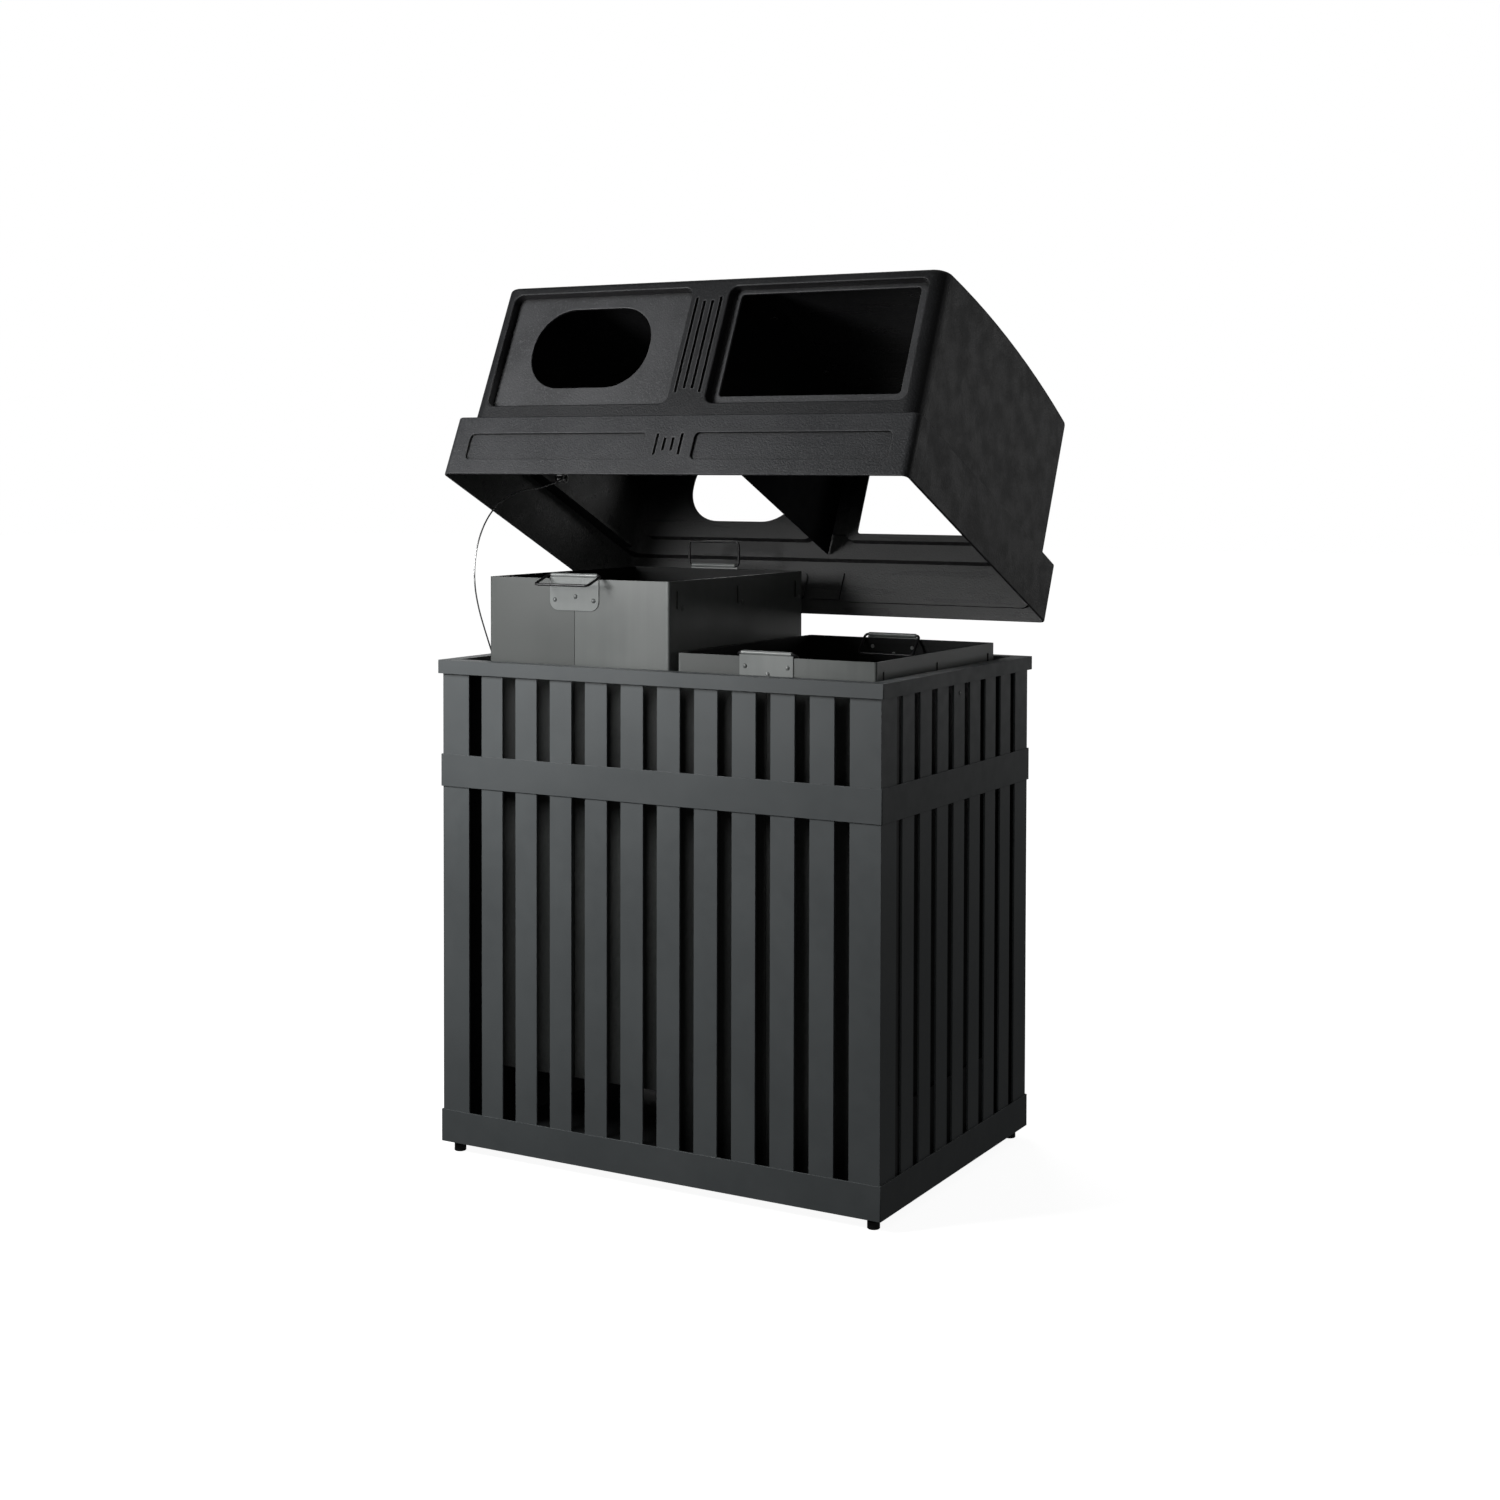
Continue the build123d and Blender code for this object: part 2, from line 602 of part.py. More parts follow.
def on_skirt_face(edge, margin=3.5):
    """True if an edge reaches to within margin of the skirt's outer faces."""
    box = edge.bounding_box()
    wide = max(abs(box.min.X), abs(box.max.X)) > LID_WIDTH / 2 - margin
    deep = box.min.Y < margin or box.max.Y > LID_DEPTH - margin
    return wide or deep


def opening(centre, width, height, corner, ys):
    x, z = centre
    return rounded_prism(x - width / 2, x + width / 2, z - height / 2, z + height / 2, corner, *ys)


def cut_grooves(shell, face, depth, long_span, short_span):
    for x in GROOVE_X:
        span = long_span if abs(x) > 20 else short_span
        for ys in both_walls(face - 1, face + depth):
            half = GROOVE_WIDTH / 2
            shell -= block(x - half, x + half, *ys, *span)
    return shell


def lid_divider():
    """A centre sheet hung from a flange that follows the underside of the roof."""
    gap = LEDGE_FRONT + 2 * LID_WALL + 2
    under = HOOD_EAVE - LID_WALL - 0.2
    roof = hood_block(HALF_WIDTH, LEDGE_FRONT + LID_WALL, under, LIP_BOTTOM, 1.0)
    below = hood_block(HALF_WIDTH + 5, LEDGE_FRONT + LID_WALL - 1, under - DIVIDER_SHEET, LIP_BOTTOM - 1, 1.0)
    top = HOOD_EAVE + CROWN
    half = DIVIDER_SHEET / 2
    sheet = block(-half, half, gap, LID_DEPTH - gap, DIVIDER_BOTTOM, top) & roof
    inset = LEDGE_FRONT + RECESS_DEPTH + 2 * LID_WALL
    flange = (roof - below) & block(-half, DIVIDER_FLANGE, inset, LID_DEPTH - inset, DIVIDER_BOTTOM, top)
    return sheet + flange


def roof_height(y):
    """Height of the roof's underside above the skirt's lower edge, at y."""
    span = LID_DEPTH / 2 - LEDGE_FRONT - LID_WALL
    radius = (span**2 + CROWN**2) / (2 * CROWN)
    return HOOD_EAVE - LID_WALL + CROWN - radius + math.sqrt(radius**2 - (y - LID_DEPTH / 2) ** 2)


def divider_screws():
    screws = []
    for y in DIVIDER_SCREW_Y:
        z = roof_height(y) - 0.2 - DIVIDER_SHEET
        head = Pos(DIVIDER_SCREW_X, y, z - 1.5) * Cylinder(6.0, 3.0)
        shank = Pos(DIVIDER_SCREW_X, y, z + 2.0) * Cylinder(2.0, 6.0)
        screws.append(head + shank)
    return Compound(children=screws)


def eye_bolt():
    """A wall plate and ring on the hood's left wall that the lanyard is crimped to."""
    wall_x = -(LID_WIDTH / 2 - LEDGE_SIDE - LID_WALL)
    x, y, z = EYE_LID
    post_y = y + EYE_POST_SHIFT[0]
    post_z = z + EYE_POST_SHIFT[1]
    reach = x - wall_x
    plate = Pos(wall_x + 1.5, post_y, post_z) * Rot(Y=90) * Cylinder(9.0, 3.0)
    post = Pos(wall_x + reach / 2, post_y, post_z) * Rot(Y=90) * Cylinder(3.0, reach)
    eye = Pos(x, y, z) * Rot(Y=90) * Torus(EYE_RADIUS, EYE_WIRE)
    return plate + post + eye


def tilted(shape):
    return Pos(0, LID_Y, LID_Z) * Rot(X=-TILT) * shape


def lid_pole():
    """The point in the YZ plane about which one turn takes the closed lid to the tipped one."""
    c = math.cos(math.radians(TILT))
    s = math.sin(math.radians(TILT))
    dy = LID_Y - (CLOSED_Y * c + CLOSED_Z * s)
    dz = LID_Z - (-CLOSED_Y * s + CLOSED_Z * c)
    det = (1 - c) ** 2 + s**2
    return (((1 - c) * dy + s * dz) / det, (-s * dy + (1 - c) * dz) / det)


# ---- lanyard ---------------------------------------------------------------------------------
def bend_radii(points):
    """As large an arc at each corner of the route as its two runs allow."""
    radii = []
    for before, here, after in zip(points, points[1:], points[2:]):
        run_in = Vector(*here) - Vector(*before)
        run_out = Vector(*after) - Vector(*here)
        turn = math.radians(run_in.get_angle(run_out))
        shorter = min(run_in.length, run_out.length)
        radii.append(CABLE_BEND_SHARE * shorter / math.tan(turn / 2))
    return radii


def lanyard_cable():
    radii = bend_radii(CABLE_ROUTE)
    path = FilletPolyline(*CABLE_ROUTE, radius=radii)
    section = Plane(origin=path @ 0, z_dir=path % 0) * Circle(CABLE_RADIUS)
    tube = sweep(section, path=path)
    print("lanyard length", round(path.length, 1), "radii", [round(r) for r in radii])
    print("lanyard volume share", round(tube.volume / (math.pi * CABLE_RADIUS**2 * path.length), 4))
    return tube


def ferrule(end, inward):
    """A crimped sleeve whose face meets the cable's end and whose axis follows it."""
    direction = (Vector(*end) - Vector(*inward)).normalized()
    plane = Plane(origin=end, z_dir=direction)
    return plane * (Pos(0, 0, FERRULE_LENGTH / 2) * Cylinder(FERRULE_RADIUS, FERRULE_LENGTH)), direction


def lanyard_lid_end():
    sleeve, direction = ferrule(CABLE_ROUTE[0], CABLE_ROUTE[1])
    return sleeve


def lanyard_body_end():
    """The lower sleeve with its flat tag and the bolt that holds it to the left slats."""
    sleeve, direction = ferrule(CABLE_ROUTE[-1], CABLE_ROUTE[-2])
    tip = Vector(*CABLE_ROUTE[-1]) + direction * FERRULE_LENGTH
    slat_face = -HALF_WIDTH + INNER_INSET
    reach = tip.X - slat_face
    spacer = Pos(slat_face + reach / 2, tip.Y, tip.Z - 6) * Rot(Y=90) * Cylinder(7.0, reach)
    head = Pos(tip.X + 2, tip.Y, tip.Z - 6) * Rot(Y=90) * Cylinder(9.0, 4.0)
    return sleeve + spacer + head


# ---- write every piece -------------------------------------------------------------------------
def write_body():
    save(rim_frame(), "rim_frame")
    save(ring(BAND_INSET, BAND_THICK, MID_BAND_BOTTOM, MID_BAND_BOTTOM + BAND_HEIGHT, CORNER_RADIUS), "mid_band")
    save(ring(BAND_INSET, BAND_THICK, BODY_BOTTOM, BODY_BOTTOM + BAND_HEIGHT, CORNER_RADIUS), "bottom_band")
    for name, x_side, y_side in (
        ("front_left", -1, -1),
        ("front_right", 1, -1),
        ("back_left", -1, 1),
        ("back_right", 1, 1),
    ):
        save(corner_post(x_side, y_side), f"corner_post_{name}")
    across = slat_positions(RIM_WIDTH - 2 * SLAT_INSET, FRONT_SLATS)
    for number, x in enumerate(across, 1):
        save(wide_slat(x, -1), f"front_slat_{number:02d}")
        save(wide_slat(x, 1), f"back_slat_{number:02d}")
    along = slat_positions(RIM_DEPTH - 2 * SLAT_INSET, SIDE_SLATS)
    for name, x_side in (("left", -1), ("right", 1)):
        slats = [side_slat(MID_Y + y, x_side) for y in along]
        screw_hole = Pos(x_side * HALF_WIDTH, MID_Y, SIDE_SCREW_Z) * Rot(Y=90) * Cylinder(RIVET_HOLE, 40.0)
        middle = len(slats) // 2
        slats[middle] = slats[middle] - screw_hole
        save(Compound(children=slats), f"{name}_side_slats")
    save(side_screws(), "side_screws")
    save(floor_pan(), "floor_pan")
    save(liner_rails(), "liner_rails")
    save(liner_guides(), "liner_guides")
    save(foot_nuts(), "foot_nuts")
    for name, (x, y) in foot_places().items():
        save(levelling_foot(x, y), f"levelling_foot_{name}")


def write_liner(name, x, z, front_angle, back_angle):
    """Angles turn each bail from upright towards the bin's front."""
    top = z + LINER_HEIGHT
    plate_x = x + HANDLE_SHIFT[name]
    drops = RIVET_DROP[name]
    save(liner(x, z, plate_x, drops), f"liner_{name}")
    save(plate_rivets(plate_x, top, drops), f"plate_rivets_{name}")
    save(side_rivets(x, top), f"side_rivets_{name}")
    walls = (("front", LINER_FRONT_Y, -1, front_angle), ("back", LINER_BACK_Y, 1, back_angle))
    for wall, y, y_side, angle in walls:
        save(Pos(plate_x, y, top) * handle_plate(y_side, drops), f"handle_plate_{name}_{wall}")
        axis_y, axis_z = bail_axis(y, y_side, top)
        save(Pos(plate_x, axis_y, axis_z) * Rot(X=angle) * bail(), f"bail_{name}_{wall}")
        print(f"bail_{name}_{wall} axis", (plate_x, axis_y, axis_z))


def write_lid():
    save(tilted(lid_hood()), "lid_hood")
    save(tilted(lid_divider()), "lid_divider")
    save(tilted(divider_screws()), "divider_screws")
    save(tilted(eye_bolt()), "lanyard_eye")
    print("lid pole", [round(v, 2) for v in lid_pole()])


def write_lanyard():
    save(lanyard_cable(), "lanyard_cable")
    save(lanyard_lid_end(), "lanyard_lid_ferrule")
    save(lanyard_body_end(), "lanyard_body_anchor")


write_body()
write_liner("left", -LINER_CENTRE_X, LINER_SEAT_Z + LEFT_LINER_LIFT, 109.0, 0.0)
write_liner("right", LINER_CENTRE_X, LINER_SEAT_Z, -138.0, 138.0)
write_lid()
write_lanyard()
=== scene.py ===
import math

import bmesh
import bpy
from mathutils import Matrix, Vector


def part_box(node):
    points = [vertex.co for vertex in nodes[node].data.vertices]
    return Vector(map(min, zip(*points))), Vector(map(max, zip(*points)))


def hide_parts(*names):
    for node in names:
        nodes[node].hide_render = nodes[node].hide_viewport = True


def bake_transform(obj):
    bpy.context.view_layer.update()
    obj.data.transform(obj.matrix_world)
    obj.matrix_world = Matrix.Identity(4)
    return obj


# Looks of a two-stream litter bin: charcoal slatted body, two dark liners, black moulded hood.
# Lengths are in metres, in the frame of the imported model: +Z up, the front faces -Y.

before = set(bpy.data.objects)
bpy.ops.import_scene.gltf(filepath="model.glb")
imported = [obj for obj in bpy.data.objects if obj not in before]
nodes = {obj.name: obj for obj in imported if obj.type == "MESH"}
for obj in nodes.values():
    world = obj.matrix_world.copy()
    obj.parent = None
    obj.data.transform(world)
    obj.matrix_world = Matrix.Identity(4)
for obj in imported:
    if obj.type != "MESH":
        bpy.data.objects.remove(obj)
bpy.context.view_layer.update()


def as_vectors(box):
    """The low and the high corner of a box."""
    return [Vector(corner) for corner in box]


RIM_LOW, RIM_HIGH = as_vectors(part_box("rim_frame"))
HOOD_LOW, HOOD_HIGH = as_vectors(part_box("lid_hood"))

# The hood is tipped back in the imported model. Its depth is measured along its own floor line.
LID_TILT = math.radians(24.6)
LID_DEPTH = 0.680

# Distances behind the front of the hood's skirt, and above the skirt's lower edge.
RECESS_FLOORS = (0.036, 0.044)
SKIRT_FACE = (-0.010, 0.008)
PALE_INSIDE_FADES = (0.15, 0.26)

# Reach of the painted shade in creases and the painted highlight along outer edges, and of the painted
# shade where slats stand over the liners.
HOOD_EDGE = 0.0018
HOOD_CREASE = 0.014
LINER_CREASE = 0.006
SLAT_SHADE = 0.16
OPENNESS_SAMPLES = 6

# Base colours, linear RGB. A pair is the darker and the lighter tone of a cloudy coat.
SLAT_TONES = ((0.080, 0.088, 0.091), (0.090, 0.099, 0.102))
BAND_TONES = ((0.072, 0.080, 0.083), (0.082, 0.090, 0.093))
PAN_TONES = ((0.018, 0.019, 0.020), (0.024, 0.025, 0.026))
DIVIDER_TONES = ((0.007, 0.007, 0.008), (0.012, 0.012, 0.013))
HOOD_TONES = ((0.0105, 0.011, 0.0120), (0.0225, 0.0232, 0.0250))
# RECESS_TONES and SKIRT_TONES are painted light: lighter tones on the hood's recess floors and skirt face.
RECESS_TONES = ((0.040, 0.041, 0.043), (0.078, 0.079, 0.083))
SKIRT_TONES = ((0.021, 0.022, 0.024), (0.044, 0.045, 0.048))
# HOOD_EDGE_TONE is a painted highlight along the hood's outer edges.
HOOD_EDGE_TONE = (0.150, 0.152, 0.157)
# HOOD_CREASE_TONE is painted shade in the hood's creases.
HOOD_CREASE_TONE = (0.003, 0.003, 0.003)
# HOOD_INSIDE_LOW_DOWN is painted light and reflection inside the hood low down; HOOD_INSIDE_HIGH_UP is the
# inside's tone higher up.
HOOD_INSIDE_HIGH_UP = (0.016, 0.016, 0.017)
HOOD_INSIDE_LOW_DOWN = (0.115, 0.116, 0.116)
LINER_TONES = ((0.108, 0.117, 0.113), (0.138, 0.147, 0.142))
# LINER_LEFT_OF_SEAM is painted shade on the liner's sheet left of its seam.
LINER_LEFT_OF_SEAM = (0.078, 0.084, 0.081)
# LINER_BEHIND_SLATS is painted shade where slats stand over the liners.
LINER_BEHIND_SLATS = (0.008, 0.0085, 0.0085)
# LINER_INSIDE is painted shade inside the liners.
LINER_INSIDE = (0.010, 0.0105, 0.0105)
# LINER_CREASE_TONE is painted shade in the liners' creases.
LINER_CREASE_TONE = (0.008, 0.008, 0.008)
HANDLE_TONES = ((0.190, 0.202, 0.198), (0.235, 0.247, 0.242))
RIVET_TONES = ((0.120, 0.128, 0.126), (0.20, 0.21, 0.205))
WIRE_TONES = ((0.010, 0.010, 0.011), (0.05, 0.05, 0.052))
SCREW_STEEL = (0.62, 0.62, 0.61)
FITTING_STEEL = (0.45, 0.45, 0.45)
ROPE_STEEL = (0.60, 0.60, 0.60)

# Lights: name, place, the point it faces, width, height and power in watts.
LIGHTS = (
    ("key", (-0.85, -1.60, 1.55), (-0.1, -0.4, 0.95), 0.45, 0.9, 31.0),
    ("front_fill", (1.6, -4.0, 1.6), (0.0, -0.3, 0.9), 2.0, 2.0, 4.5),
    ("top", (0.0, 0.6, 3.2), (0.0, 0.0, 1.2), 2.2, 1.2, 4.0),
    ("back", (-2.0, 3.0, 2.6), (0.0, 0.1, 0.9), 1.5, 1.5, 24.0),
    ("right", (2.3, 2.8, 1.45), (0.3, 0.0, 0.95), 1.2, 1.6, 8.5),
)
AMBIENT_STRENGTH = 0.07

# Camera: place from the rim's top front left corner, angles in degrees, lens in millimetres.
CAMERA_FROM_RIM = (2.5238, -3.2898, 0.3562)
CAMERA_TURN = 29.461
CAMERA_DIP = 1.619
CAMERA_ROLL = 0.13
CAMERA_LENS = 53.16
CAMERA_SHIFT_Y = -0.1459

FLOOR_HALF_SIZE = 30.0
ROPE_SIDES = 12
ROPE_STRANDS = 6
ROPE_GROOVE = 0.07
ROPE_TURNS_PER_METRE = 30.0
CABLE_DIAMETER = 0.003
CABLE_ROUTE = (
    (-0.4400, -0.0443, 1.2498),
    (-0.4385, -0.1040, 1.2365),
    (-0.4365, -0.1500, 1.2360),
    (-0.4330, -0.2000, 1.2280),
    (-0.4290, -0.2480, 1.2140),
    (-0.4250, -0.2910, 1.1900),
    (-0.4210, -0.3250, 1.1550),
    (-0.4180, -0.3460, 1.1120),
    (-0.4170, -0.3500, 1.0640),
    (-0.4170, -0.3380, 1.0180),
    (-0.4170, -0.3180, 0.9750),
    (-0.4170, -0.2960, 0.9320),
    (-0.4190, -0.2740, 0.8920),
    (-0.4250, -0.2460, 0.8600),
)


# ---- shader pieces -----------------------------------------------------------------------------
def finish(name, colour, roughness, metallic=0.0, specular=0.5):
    """A new material with one Principled shader: returns (material, its nodes' tree, the shader)."""
    material = bpy.data.materials.new(name)
    material.use_nodes = True
    tree = material.node_tree
    shader = tree.nodes["Principled BSDF"]
    shader.inputs["Base Color"].default_value = (*colour, 1.0)
    shader.inputs["Roughness"].default_value = roughness
    shader.inputs["Metallic"].default_value = metallic
    shader.inputs["Specular IOR Level"].default_value = specular
    return material, tree, shader


def place(tree, stretch=(1.0, 1.0, 1.0)):
    """Object coordinates, scaled along each axis."""
    source = tree.nodes.new("ShaderNodeTexCoord")
    mapping = tree.nodes.new("ShaderNodeMapping")
    mapping.inputs["Scale"].default_value = stretch
    tree.links.new(source.outputs["Object"], mapping.inputs["Vector"])
    return mapping.outputs["Vector"]


def noise(tree, where, scale, detail=3.0, roughness=0.5):
    """Cloudy noise: a higher scale gives smaller clouds."""
    node = tree.nodes.new("ShaderNodeTexNoise")
    node.inputs["Scale"].default_value = scale
    node.inputs["Detail"].default_value = detail
    node.inputs["Roughness"].default_value = roughness
    tree.links.new(where, node.inputs["Vector"])
    return node.outputs["Fac"]


def remap(tree, value, low, high, to_low, to_high):
    """Runs smoothly from to_low to to_high while value goes from low to high."""
    node = tree.nodes.new("ShaderNodeMapRange")
    node.interpolation_type = "SMOOTHSTEP"
    node.inputs["From Min"].default_value = low
    node.inputs["From Max"].default_value = high
    node.inputs["To Min"].default_value = to_low
    node.inputs["To Max"].default_value = to_high
    tree.links.new(value, node.inputs["Value"])
    return node.outputs["Result"]


def arithmetic(tree, kind, first, second):
    """One sum, product or other operation of two values; either may be a plain number."""
    node = tree.nodes.new("ShaderNodeMath")
    node.operation = kind
    for socket, value in zip(node.inputs, (first, second)):
        if isinstance(value, (int, float)):
            socket.default_value = value
        else:
            tree.links.new(value, socket)
    return node.outputs["Value"]


def blend_colours(tree, factor, dark, light):
    """dark where factor is 0, light where it is 1; either may be a plain colour."""
    node = tree.nodes.new("ShaderNodeMix")
    node.data_type = "RGBA"
    tree.links.new(factor, node.inputs["Factor"])
    colours = [socket for socket in node.inputs if socket.type == "RGBA"]
    for socket, value in zip(colours, (dark, light)):
        if isinstance(value, tuple):
            socket.default_value = (*value, 1.0)
        else:
            tree.links.new(value, socket)
    return [socket for socket in node.outputs if socket.type == "RGBA"][0]


def blend_values(tree, factor, low, high):
    """low where factor is 0, high where it is 1."""
    node = tree.nodes.new("ShaderNodeMix")
    node.data_type = "FLOAT"
    tree.links.new(factor, node.inputs["Factor"])
    numbers = [socket for socket in node.inputs if socket.type == "VALUE" and socket.name in "AB"]
    for socket, value in zip(numbers, (low, high)):
        tree.links.new(value, socket)
    return [socket for socket in node.outputs if socket.type == "VALUE"][0]


def bump(tree, shader, height, strength, distance, under=None):
    """Fine relief for the shader, over the relief under it."""
    node = tree.nodes.new("ShaderNodeBump")
    node.inputs["Strength"].default_value = strength
    node.inputs["Distance"].default_value = distance
    tree.links.new(height, node.inputs["Height"])
    if under is not None:
        tree.links.new(under, node.inputs["Normal"])
    tree.links.new(node.outputs["Normal"], shader.inputs["Normal"])
    return node.outputs["Normal"]


def openness(tree, reach, inside=False, alone=True):
    """1 in the open, less in creases; measured inside the wall it is less along outer edges.

    alone leaves the other pieces out."""
    node = tree.nodes.new("ShaderNodeAmbientOcclusion")
    node.samples = OPENNESS_SAMPLES
    node.inside = inside
    node.only_local = alone
    node.inputs["Distance"].default_value = reach
    return node.outputs["AO"]


# ---- materials ---------------------------------------------------------------------------------
def powder_coat(name, tones, roughness, specular=0.5):
    """Satin charcoal powder coat: faint clouding and fine texture."""
    dark, light = tones
    material, tree, shader = finish(name, dark, roughness, specular=specular)
    where = place(tree)
    cloud = remap(tree, noise(tree, where, 5.0, 4.0), 0.35, 0.65, 0.0, 1.0)
    tree.links.new(blend_colours(tree, cloud, dark, light), shader.inputs["Base Color"])
    sheen = remap(tree, noise(tree, where, 38.0, 4.0), 0.3, 0.7, roughness - 0.04, roughness + 0.05)
    tree.links.new(sheen, shader.inputs["Roughness"])
    bump(tree, shader, noise(tree, where, 950.0, 2.0), 0.16, 0.0004)
    return material


def offset_from(tree, start):
    """The surface coordinates, and a dot product node that already holds the way from start."""
    source = tree.nodes.new("ShaderNodeTexCoord")
    away = tree.nodes.new("ShaderNodeVectorMath")
    away.operation = "SUBTRACT"
    away.inputs[1].default_value = start
    tree.links.new(source.outputs["Object"], away.inputs[0])
    product = tree.nodes.new("ShaderNodeVectorMath")
    product.operation = "DOT_PRODUCT"
    tree.links.new(away.outputs["Vector"], product.inputs[0])
    return source, product


def facing_in(tree, centre):
    """1 where a surface of a hollow piece looks towards centre, 0 on its outside."""
    source, product = offset_from(tree, centre)
    tree.links.new(source.outputs["Normal"], product.inputs[1])
    return remap(tree, product.outputs["Value"], -0.02, 0.0, 1.0, 0.0)


def distance_along(tree, start, direction):
    """Distance of a surface point from start along a direction, in the frame's axes."""
    product = offset_from(tree, start)[1]
    product.inputs[1].default_value = direction
    return product.outputs["Value"]


def hood_depth_and_height(tree):
    """Distances behind the front face of the hood's skirt and above the skirt's lower edge."""
    backward = Vector((0.0, math.cos(LID_TILT), -math.sin(LID_TILT)))
    upward = Vector((0.0, math.sin(LID_TILT), math.cos(LID_TILT)))
    foot = Vector((0.0, HOOD_LOW.y, HOOD_LOW.z + LID_DEPTH * math.sin(LID_TILT)))
    return distance_along(tree, foot, backward), distance_along(tree, foot, upward)


def between(tree, value, low, high, blur):
    """1 where value lies between low and high, 0 elsewhere."""
    rising = remap(tree, value, low - blur, low, 0.0, 1.0)
    falling = remap(tree, value, high, high + blur, 1.0, 0.0)
    return arithmetic(tree, "MULTIPLY", rising, falling)


def moulded_plastic(name):
    """Black moulded plastic: orange-peel grain outside, smoother with flow streaks inside.

    The recess floors, the skirt face and the inside low down are painted lighter and the outer edges get a
    painted highlight, to stand for light that the lamps here do not give them; the creases are painted
    darker, as painted shade."""
    material, tree, shader = finish(name, HOOD_TONES[0], 0.6, specular=0.32)
    where = place(tree)
    inside = facing_in(tree, (HOOD_LOW + HOOD_HIGH) / 2)
    cloud = remap(tree, noise(tree, where, 9.0, 5.0), 0.35, 0.68, 0.0, 1.0)
    speck = remap(tree, noise(tree, where, 260.0, 3.0, 0.6), 0.50, 0.68, 0.0, 1.0)
    both = arithmetic(tree, "MAXIMUM", arithmetic(tree, "MULTIPLY", cloud, 0.5), speck)
    outside = blend_colours(tree, both, *HOOD_TONES)
    floors = blend_colours(tree, both, *RECESS_TONES)
    skirt = blend_colours(tree, both, *SKIRT_TONES)
    depth, height = hood_depth_and_height(tree)
    toned = blend_colours(tree, between(tree, depth, *RECESS_FLOORS, 0.004), outside, floors)
    toned = blend_colours(tree, between(tree, depth, *SKIRT_FACE, 0.004), toned, skirt)
    edge = remap(tree, openness(tree, HOOD_EDGE, inside=True), 0.60, 0.95, 0.6, 0.0)
    toned = blend_colours(tree, edge, toned, HOOD_EDGE_TONE)
    crease = remap(tree, openness(tree, HOOD_CREASE), 0.40, 0.92, 0.95, 0.0)
    toned = blend_colours(tree, crease, toned, HOOD_CREASE_TONE)
    low_down = remap(tree, height, *PALE_INSIDE_FADES, 1.0, 0.0)
    within = blend_colours(tree, low_down, HOOD_INSIDE_HIGH_UP, HOOD_INSIDE_LOW_DOWN)
    tree.links.new(blend_colours(tree, inside, toned, within), shader.inputs["Base Color"])
    patches = remap(tree, noise(tree, where, 24.0, 4.0, 0.6), 0.3, 0.7, 0.46, 0.58)
    streaks = remap(tree, noise(tree, place(tree, (5.0, 40.0, 40.0)), 1.0, 4.0), 0.3, 0.7, 0.26, 0.40)
    tree.links.new(blend_values(tree, inside, patches, streaks), shader.inputs["Roughness"])
    waves = noise(tree, where, 14.0, 2.0)
    soft = bump(tree, shader, waves, 0.20, 0.004)
    bump(tree, shader, noise(tree, where, 300.0, 3.0, 0.6), 0.55, 0.0018, soft)
    return material


def sheet_coat(name, tones, roughness):
    """Coated steel sheet: slight vertical streaks and clouds. Returns (material, tree, shader, colour)."""
    dark, light = tones
    material, tree, shader = finish(name, dark, roughness)
    where = place(tree)
    streaks = noise(tree, place(tree, (60.0, 60.0, 1.6)), 1.0, 5.0, 0.6)
    cloud = noise(tree, where, 4.0, 4.0)
    faint = arithmetic(tree, "MULTIPLY", streaks, 0.2)
    mixed = arithmetic(tree, "ADD", faint, arithmetic(tree, "MULTIPLY", cloud, 0.8))
    shade = remap(tree, mixed, 0.38, 0.62, 0.0, 1.0)
    colour = blend_colours(tree, shade, dark, light)
    tree.links.new(colour, shader.inputs["Base Color"])
    sheen = remap(tree, mixed, 0.35, 0.65, roughness - 0.05, roughness + 0.06)
    tree.links.new(sheen, shader.inputs["Roughness"])
    waves = bump(tree, shader, noise(tree, where, 6.0, 1.0), 0.10, 0.006)
    bump(tree, shader, noise(tree, where, 700.0, 2.0), 0.10, 0.0004, waves)
    return material, tree, shader, colour


def liner_coat(side):
    """The liner's sheet. Darker tones are painted in left of its seam, inside it, in its creases
    and where slats stand over it, to stand for shade."""
    material, tree, shader, colour = sheet_coat("liner_coat_" + side, LINER_TONES, 0.38)
    plate_low, plate_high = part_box("handle_plate_" + side + "_front")
    low, high = as_vectors(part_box("liner_" + side))
    seam = (plate_low[0] + plate_high[0]) / 2
    across = distance_along(tree, (seam, 0.0, 0.0), (1.0, 0.0, 0.0))
    left_of_seam = remap(tree, across, -0.001, 0.001, 1.0, 0.0)
    colour = blend_colours(tree, left_of_seam, colour, LINER_LEFT_OF_SEAM)
    hemmed_in = remap(tree, openness(tree, SLAT_SHADE, alone=False), 0.52, 0.80, 1.0, 0.0)
    depth = distance_along(tree, (0.0, 0.0, RIM_HIGH.z), (0.0, 0.0, -1.0))
    below_rim = remap(tree, depth, 0.0, 0.02, 0.0, 1.0)
    behind_slats = arithmetic(tree, "MINIMUM", hemmed_in, below_rim)
    colour = blend_colours(tree, behind_slats, colour, LINER_BEHIND_SLATS)
    inside = facing_in(tree, (low + high) / 2)
    colour = blend_colours(tree, inside, colour, LINER_INSIDE)
    crease = remap(tree, openness(tree, LINER_CREASE, alone=False), 0.45, 0.95, 0.9, 0.0)
    colour = blend_colours(tree, crease, colour, LINER_CREASE_TONE)
    tree.links.new(colour, shader.inputs["Base Color"])
    dull = remap(tree, inside, 0.0, 1.0, 0.5, 0.12)
    tree.links.new(dull, shader.inputs["Specular IOR Level"])
    return material


